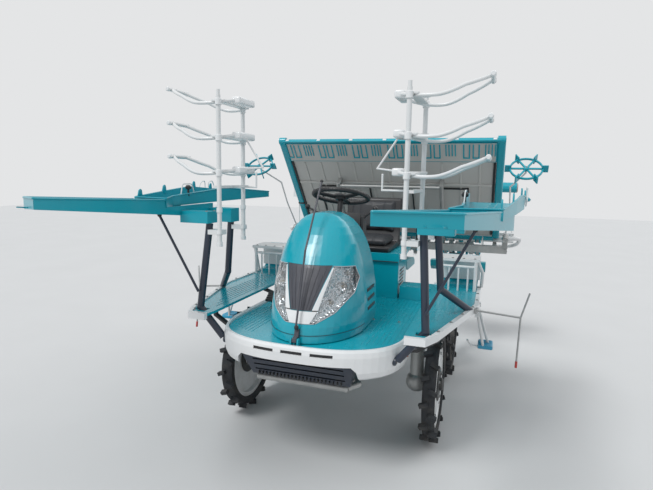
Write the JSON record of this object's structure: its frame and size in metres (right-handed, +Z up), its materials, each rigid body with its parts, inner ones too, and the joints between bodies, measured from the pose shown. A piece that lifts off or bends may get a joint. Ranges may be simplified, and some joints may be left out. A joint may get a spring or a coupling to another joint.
{
  "type": "six row riding rice transplanter",
  "caption": "Ride-on rice transplanter with domed bonnet, lugged wheels, spare seedling rails and racks, and a raised planting unit with a sliding seedling platform.",
  "frame": {"origin": "on the ground, at the middle of the machine's bounding box", "axes": "-Y the way it drives, +X the rider's left, +Z up"},
  "size_m": [2.466, 3.7262, 1.9845],
  "materials": {
    "teal_plastic": "gloss",
    "white_plastic": "satin",
    "white_paint": "satin",
    "navy_paint": "satin",
    "black_paint": "satin",
    "cast_alloy": "cast",
    "black_plastic": "matt",
    "grey_plastic": "matt",
    "seat_vinyl": "grained",
    "lamp_lens": "clear over silver",
    "tyre_rubber": "matt",
    "belt_rubber": "ribbed",
    "teal_paint": "gloss",
    "zinc_steel": "plated",
    "hopper_plastic": "translucent",
    "chrome_rod": "polished"
  },
  "bodies": {
    "vehicle": {"chassis_frame": "black_paint", "transmission_case": "cast_alloy", "rear_axle_case": "cast_alloy", "engine_block": "black_paint", "deck": "teal_plastic", "deck_rim": "white_plastic", "front_grille": "navy_paint", "dash_panel": "black_plastic", "seat_pedestal": "teal_plastic", "seat": "seat_vinyl", "rear_guard": "white_paint", "rail_posts": "navy_paint", "seedling_rails": "teal_paint", "spare_racks": "white_paint", "rack_tiers": "white_paint", "side_markers": "zinc_steel"},
    "bonnet_lid": {"bonnet": "teal_plastic", "headlamps": "lamp_lens", "bonnet_trim": "grey_plastic"},
    "steering_wheel": {"steering_wheel": "black_plastic"},
    "knuckle_left": {"knuckle_left": "cast_alloy"},
    "knuckle_right": {"knuckle_right": "cast_alloy"},
    "front_wheel_left": {"front_tyre_left": "tyre_rubber", "front_disc_left": "white_paint"},
    "front_wheel_right": {"front_tyre_right": "tyre_rubber", "front_disc_right": "white_paint"},
    "rear_wheel_left": {"rear_tyre_left": "tyre_rubber", "rear_rim_left": "white_paint"},
    "rear_wheel_right": {"rear_tyre_right": "tyre_rubber", "rear_rim_right": "white_paint"},
    "step_left": {"step_left": "white_paint"},
    "step_right": {"step_right": "white_paint"},
    "lower_links": {"lower_links": "navy_paint"},
    "upper_link": {"upper_link": "navy_paint"},
    "hitch": {"hitch_frame": "navy_paint"},
    "lift_barrel": {"lift_barrel": "cast_alloy"},
    "lift_rod": {"lift_rod": "chrome_rod"},
    "planter": {"planter_frame": "cast_alloy", "guide_rail": "white_paint", "rail_lip": "white_paint", "guard_tubes": "white_paint", "applicator_tube": "teal_paint", "hopper": "hopper_plastic", "applicator_box": "white_plastic", "floats": "teal_plastic"},
    "platform": {"platform_panel": "white_plastic", "platform_frame": "teal_plastic", "platform_belts": "belt_rubber", "platform_rods": "zinc_steel"},
    "rotor_left": {"rotor_left": "cast_alloy"},
    "rotor_centre": {"rotor_centre": "cast_alloy"},
    "rotor_right": {"rotor_right": "cast_alloy"},
    "marker_left": {"marker_arm_left": "white_paint"},
    "marker_right": {"marker_arm_right": "white_paint"},
    "star_left": {"star_wheel_left": "teal_paint"},
    "star_right": {"star_wheel_right": "teal_paint"}
  },
  "joints": [
    {"name": "steer_left", "type": "hinge", "parent": "vehicle", "child": "knuckle_left", "pos_m": [0.5, -0.2791, 0.45], "axis": [0, 0, 1], "range_deg": [-35, 35]},
    {"name": "steer_right", "type": "hinge", "parent": "vehicle", "child": "knuckle_right", "pos_m": [-0.5, -0.2791, 0.45], "axis": [0, 0, 1], "range_deg": [-35, 35]},
    {"name": "steering_wheel_turn", "type": "hinge", "parent": "vehicle", "child": "steering_wheel", "pos_m": [0, -0.3091, 1.2], "axis": [0, 0.2756, 0.9613], "range_deg": [-420, 420]},
    {"name": "front_wheel_spin_left", "type": "hinge", "parent": "knuckle_left", "child": "front_wheel_left", "pos_m": [0.605, -0.2791, 0.325], "axis": [1, 0, 0], "continuous": true},
    {"name": "rear_wheel_spin_left", "type": "hinge", "parent": "vehicle", "child": "rear_wheel_left", "pos_m": [0.605, 0.7949, 0.475], "axis": [1, 0, 0], "continuous": true},
    {"name": "front_wheel_spin_right", "type": "hinge", "parent": "knuckle_right", "child": "front_wheel_right", "pos_m": [-0.605, -0.2791, 0.325], "axis": [1, 0, 0], "continuous": true},
    {"name": "rear_wheel_spin_right", "type": "hinge", "parent": "vehicle", "child": "rear_wheel_right", "pos_m": [-0.605, 0.7949, 0.475], "axis": [1, 0, 0], "continuous": true},
    {"name": "bonnet_open", "type": "hinge", "parent": "vehicle", "child": "bonnet_lid", "pos_m": [0, -0.9691, 0.728], "axis": [1, 0, 0], "range_deg": [0, 55]},
    {"name": "step_fold_left", "type": "hinge", "parent": "vehicle", "child": "step_left", "pos_m": [0.82, -0.1041, 0.75], "axis": [0, -1, 0], "range_deg": [0, 80]},
    {"name": "step_fold_right", "type": "hinge", "parent": "vehicle", "child": "step_right", "pos_m": [-0.82, -0.1041, 0.75], "axis": [0, 1, 0], "range_deg": [0, 80]},
    {"name": "lift", "type": "hinge", "parent": "vehicle", "child": "lower_links", "pos_m": [0, 0.6209, 0.6], "axis": [1, 0, 0], "range_deg": [-49, 0]},
    {"name": "lift_upper", "type": "hinge", "parent": "vehicle", "child": "upper_link", "pos_m": [0, 0.5709, 0.905], "axis": [1, 0, 0], "range_deg": [-49, 0]},
    {"name": "lift_hitch", "type": "hinge", "parent": "lower_links", "child": "hitch", "pos_m": [0, 1.34101, 0.92969], "axis": [1, 0, 0], "range_deg": [0, 49]},
    {"name": "lift_barrel_swing", "type": "hinge", "parent": "vehicle", "child": "lift_barrel", "pos_m": [0, 0.0709, 0.452], "axis": [1, 0, 0], "range_deg": [-5, 5]},
    {"name": "lift_rod_slide", "type": "slide", "parent": "lift_barrel", "child": "lift_rod", "axis": [0, 0.9997, -0.0251], "range_m": [-0.1512, 0]},
    {"name": "planter_roll", "type": "hinge", "parent": "hitch", "child": "planter", "pos_m": [0, 1.4209, 0.915], "axis": [0, 1, 0], "range_deg": [-4, 4]},
    {"name": "platform_shift", "type": "slide", "parent": "planter", "child": "platform", "axis": [1, 0, 0], "range_m": [-0.14, 0.14]},
    {"name": "rotor_spin_left", "type": "hinge", "parent": "planter", "child": "rotor_left", "pos_m": [0.6, 1.7809, 0.885], "axis": [1, 0, 0], "continuous": true},
    {"name": "rotor_spin_centre", "type": "hinge", "parent": "planter", "child": "rotor_centre", "pos_m": [0, 1.7809, 0.885], "axis": [1, 0, 0], "continuous": true},
    {"name": "rotor_spin_right", "type": "hinge", "parent": "planter", "child": "rotor_right", "pos_m": [-0.6, 1.7809, 0.885], "axis": [1, 0, 0], "continuous": true},
    {"name": "marker_swing_left", "type": "hinge", "parent": "planter", "child": "marker_left", "pos_m": [0.985, 1.4619, 1.04], "axis": [0, 0.7501, 0.6613], "range_deg": [0, 100]},
    {"name": "marker_swing_right", "type": "hinge", "parent": "planter", "child": "marker_right", "pos_m": [-0.985, 1.4619, 1.04], "axis": [0, -0.7501, -0.6613], "range_deg": [0, 100]},
    {"name": "star_spin_left", "type": "hinge", "parent": "marker_left", "child": "star_left", "pos_m": [1.083, 0.8479, 1.6], "axis": [0, -0.6613, 0.7501], "continuous": true},
    {"name": "star_spin_right", "type": "hinge", "parent": "marker_right", "child": "star_right", "pos_m": [-1.083, 0.8479, 1.6], "axis": [0, -0.6613, 0.7501], "continuous": true}
  ],
  "couplings": [
    {"joint": "steer_right", "follows": "steer_left", "ratio": 1},
    {"joint": "steering_wheel_turn", "follows": "steer_left", "ratio": 12},
    {"joint": "lift_upper", "follows": "lift", "ratio": 1},
    {"joint": "lift_hitch", "follows": "lift", "ratio": -1},
    {"joint": "lift_barrel_swing", "follows": "lift", "ratio": 0.0098},
    {"joint": "lift_rod_slide", "follows": "lift", "m_per_rad": 0.1745},
    {"joint": "rotor_spin_left", "follows": "rotor_spin_centre", "ratio": 1},
    {"joint": "rotor_spin_right", "follows": "rotor_spin_centre", "ratio": 1}
  ]
}
